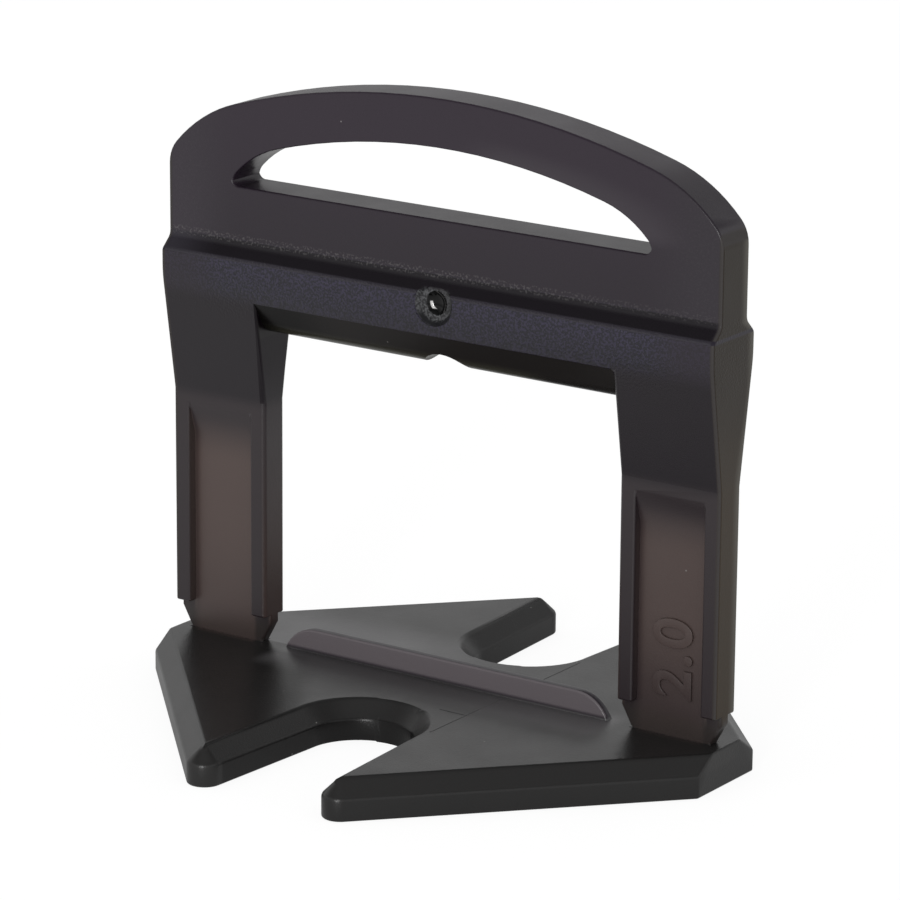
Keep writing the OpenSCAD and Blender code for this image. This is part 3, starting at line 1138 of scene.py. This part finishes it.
@dataclass
class SizeNumerals:
    """Plain raised numerals in a leg's panel, giving the joint width in millimetres."""

    sizes: ClipSizes
    finish: bpy.types.Material
    name: str = "size_numerals"
    words: str = "2.0"
    letter_size: float = 3.5
    spacing: float = 1.12
    boldness: float = 0.06
    relief: float = 0.11
    sunk: float = 0.05
    soft_edge: float = 0.03
    curve_steps: int = 6
    merge_distance: float = 0.0005
    smooth_angle: float = 30.0
    baseline_x: float = 17.0
    start_z: float = 4.6

    def build(self) -> None:
        """Makes the numerals, reading up the leg."""
        bpy.ops.object.select_all(action="DESELECT")
        bpy.ops.object.text_add()
        piece = bpy.context.object
        piece.name = self.name
        letters = piece.data
        letters.body = self.words
        letters.size = self.letter_size * MM
        letters.space_character = self.spacing
        letters.offset = self.boldness * MM
        letters.extrude = (self.relief + self.sunk) / 2 * MM
        letters.bevel_depth = self.soft_edge * MM
        letters.resolution_u = self.curve_steps
        front = -self.sizes.web_half_thickness - (self.relief - self.sunk) / 2
        turn = Matrix(((0, -1, 0), (0, 0, -1), (1, 0, 0))).to_4x4()
        place = Vector((self.baseline_x, front, self.start_z)) * MM
        bpy.ops.object.convert(target="MESH")
        piece = bpy.context.object
        piece.matrix_world = Matrix.Translation(place) @ turn
        bpy.ops.object.mode_set(mode="EDIT")
        bpy.ops.mesh.select_all(action="SELECT")
        bpy.ops.mesh.remove_doubles(threshold=self.merge_distance * MM)
        bpy.ops.mesh.normals_make_consistent(inside=False)
        bpy.ops.object.mode_set(mode="OBJECT")
        bpy.ops.object.shade_smooth_by_angle(angle=math.radians(self.smooth_angle))
        settle(piece, self.finish)


@dataclass(frozen=True)
class PhotoCamera:
    """Camera at the photograph's view, for a square picture."""

    picture_px: float = 900.0
    focal_px: float = 4734.04
    sensor: float = 36.0
    azimuth: float = 34.805
    elevation: float = 15.846
    roll: float = 0.445
    distance: float = 271.46
    aim_right: float = 0.16
    aim_height: float = 16.29
    clip: Span = (0.01, 10.0)

    def build(self) -> None:
        """Makes the camera and gives it to the scene."""
        turn, tilt, roll = (math.radians(v) for v in (self.azimuth, self.elevation, self.roll))
        back = Vector((math.sin(turn) * math.cos(tilt), -math.cos(turn) * math.cos(tilt), math.sin(tilt)))
        level = Vector((math.cos(turn), math.sin(turn), 0))
        upright = back.cross(level)
        right = math.cos(roll) * level + math.sin(roll) * upright
        up = math.cos(roll) * upright - math.sin(roll) * level
        eye = Vector((0, 0, self.aim_height)) + self.aim_right * right + self.distance * back
        data = bpy.data.cameras.new("photo_camera")
        data.sensor_width = self.sensor
        data.lens = self.focal_px / self.picture_px * self.sensor
        data.clip_start, data.clip_end = self.clip
        camera = bpy.data.objects.new("photo_camera", data)
        camera.matrix_world = Matrix.Translation(eye * MM) @ Matrix((right, up, back)).transposed().to_4x4()
        bpy.context.scene.collection.objects.link(camera)
        bpy.context.scene.camera = camera
        LOG.info("camera: lens %.1f mm", data.lens)


@dataclass(frozen=True)
class Studio:
    """White studio: a pale floor, a white surround and a soft lamp on the left."""

    backdrop: float = 1.0
    ambient: float = 0.8
    levels: tuple[Span, ...] = (
        (-1.0, 0.60), (0.0, 0.64), (0.11, 0.33), (0.20, 0.63), (0.29, 0.96),
        (0.40, 0.74), (0.54, 0.40), (0.61, 0.32), (0.69, 0.07), (0.94, 0.36),
    )
    floor_half: float = 0.35
    floor_drop: float = 0.01
    floor_glow: float = 1.07
    floor_colour: Colour = (0.85, 0.85, 0.85)
    shade_centre: Span = (1.0, 0.0)
    shade_reach: float = 120.0
    shade_levels: tuple[Span, ...] = ((0.08, 0.36), (0.16, 0.50), (0.25, 0.66), (0.42, 0.78), (0.92, 0.84))
    shadow_share: float = 0.17
    lamp_power: float = 1.2
    lamp_size: Span = (0.06, 0.25)
    lamp_place: Place = (0.165, -0.52, 0.11)
    lamp_aim: Place = (0.0, 0.0, 0.016)

    def world(self) -> None:
        """Makes the surround: white behind the clip, and with a dark ceiling in the clip's gloss."""
        world = bpy.data.worlds.new("studio")
        world.use_nodes = True
        graph = Graph(world.node_tree)
        rays = graph.add("ShaderNodeLightPath", {}).outputs
        up = graph.axes(graph.add("ShaderNodeTexCoord", {}).outputs["Generated"])[2]
        gloss = graph.mixed(rays["Is Glossy Ray"], self.ambient, graph.stepped(up, self.levels))
        seen = graph.any_of(rays["Is Camera Ray"], rays["Is Transmission Ray"])
        strength = graph.mixed(seen, gloss, self.backdrop)
        light = graph.add("ShaderNodeBackground", {"Color": (1, 1, 1, 1), "Strength": strength})
        graph.add("ShaderNodeOutputWorld", {"Surface": light.outputs[0]})
        bpy.context.scene.world = world

    def mirrored_floor(self, graph: Graph) -> Socket:
        """Makes the glowing floor that the clip's gloss shows, with painted shade that makes it darker near
        the clip.

        Args:
            graph: The tree of the floor's material.

        Returns:
            Its shader.
        """
        places = zip(graph.axes(graph.millimetres()), self.shade_centre)
        reach = graph.reach(*(graph.calc(Op.LESS, *place) for place in places))
        share = graph.calc(Op.TIMES, reach, 1 / self.shade_reach)
        level = graph.stepped(share, self.shade_levels)
        return graph.add("ShaderNodeEmission", {"Color": level, "Strength": 1.0}).outputs[0]

    def floor(self) -> None:
        """Makes the floor, white to the camera but for the clip's soft shadow."""
        bpy.ops.object.select_all(action="DESELECT")
        bpy.ops.mesh.primitive_plane_add(size=2 * self.floor_half, location=(0, 0, -self.floor_drop * MM))
        floor = bpy.context.object
        floor.name = "studio_floor"
        material = bpy.data.materials.new("studio_floor")
        material.use_nodes = True
        graph = Graph(material.node_tree)
        rays = graph.add("ShaderNodeLightPath", {}).outputs
        matt = graph.add("ShaderNodeBsdfDiffuse", {"Color": (*self.floor_colour, 1)})
        glow = graph.add("ShaderNodeEmission", {"Strength": self.floor_glow})
        share = graph.calc(Op.TIMES, rays["Is Camera Ray"], 1 - self.shadow_share)
        plain = graph.add("ShaderNodeMixShader", {0: share, 1: matt.outputs[0], 2: glow.outputs[0]})
        layers = {0: rays["Is Glossy Ray"], 1: plain.outputs[0], 2: self.mirrored_floor(graph)}
        shown = graph.add("ShaderNodeMixShader", layers)
        graph.add("ShaderNodeOutputMaterial", {"Surface": shown.outputs[0]})
        floor.data.materials.append(material)

    def lamp(self) -> None:
        """Makes the soft lamp, turned towards the clip."""
        data = bpy.data.lights.new("soft_lamp", "AREA")
        data.energy = self.lamp_power
        data.shape = "RECTANGLE"
        data.size, data.size_y = self.lamp_size
        lamp = bpy.data.objects.new("soft_lamp", data)
        lamp.location = self.lamp_place
        aim = Vector(self.lamp_aim) - lamp.location
        lamp.rotation_euler = aim.to_track_quat("-Z", "Y").to_euler()
        bpy.context.scene.collection.objects.link(lamp)

    def build(self) -> None:
        """Makes the surround, the floor and the lamp."""
        self.world()
        self.floor()
        self.lamp()
        bpy.context.scene.view_settings.view_transform = "Standard"
        LOG.info("studio: floor, surround and lamp")


def main() -> None:
    """Builds the clip, its marks and the studio round it."""
    logging.basicConfig(level=logging.INFO, format="%(name)s: %(message)s")
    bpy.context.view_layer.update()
    sizes = ClipSizes()
    plastic = SatinPlastic(sizes).build()
    ClipBody(sizes, plastic).build()
    WitnessLines(sizes, plastic).build()
    SizeNumerals(sizes, plastic).build()
    PhotoCamera().build()
    Studio().build()


if __name__ == "__main__":
    main()
